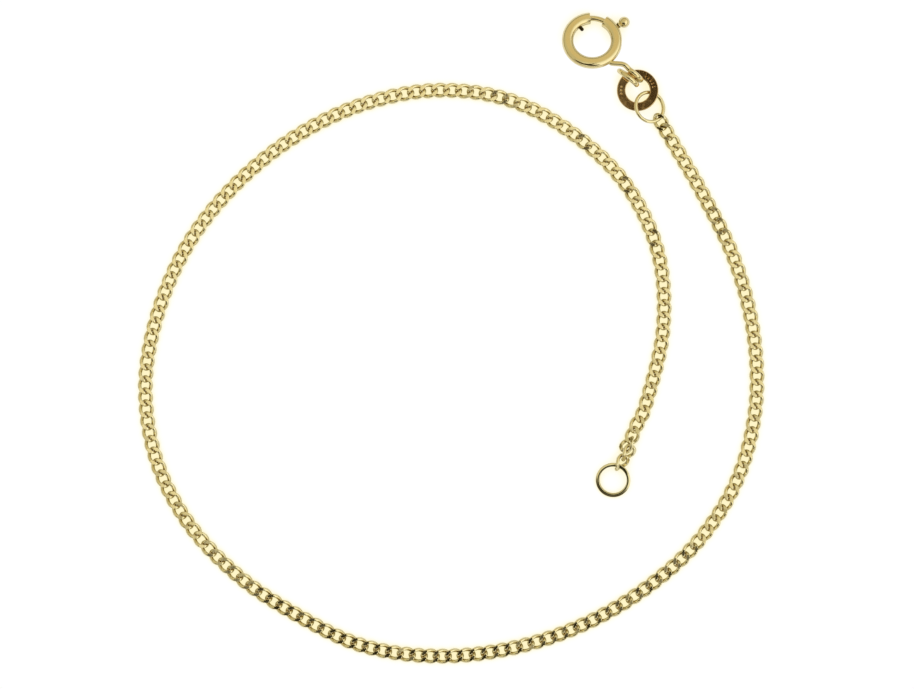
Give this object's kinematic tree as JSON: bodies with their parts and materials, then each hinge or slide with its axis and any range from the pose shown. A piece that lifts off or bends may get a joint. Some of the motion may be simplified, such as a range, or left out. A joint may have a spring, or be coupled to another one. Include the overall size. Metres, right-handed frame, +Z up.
{
  "type": "curb chain bracelet",
  "caption": "Fine yellow gold curb chain bracelet, unfastened and laid flat in a loose spiral, with a bolt ring clasp and an end ring.",
  "frame": {"origin": "on the surface that the bracelet lies on, under the middle of its outline", "axes": "+Z up from that surface; +Y towards the clasp, the far side of the picture; +X to the right"},
  "size_m": [0.0522, 0.0542, 0.0024],
  "materials": {
    "gold": "polished 14 ct yellow gold",
    "tag_gold": "mirror-polished yellow gold, flat, with punched marks"
  },
  "bodies": {
    "bracelet": {"clasp_ring": "gold", "tag_ring": "tag_gold", "jump_ring": "gold", "curb_chain": "gold", "end_ring": "gold"},
    "trigger": {"clasp_trigger": "gold"}
  },
  "joints": [
    {"name": "trigger_slide", "type": "hinge", "parent": "bracelet", "child": "trigger", "pos_m": [0.01172, 0.02477, 0.00125], "axis": [0, -0.342, -0.9397], "range_deg": [0, 42], "stiffness_Nm_per_rad": 0.0001, "springref_deg": -17.19}
  ]
}
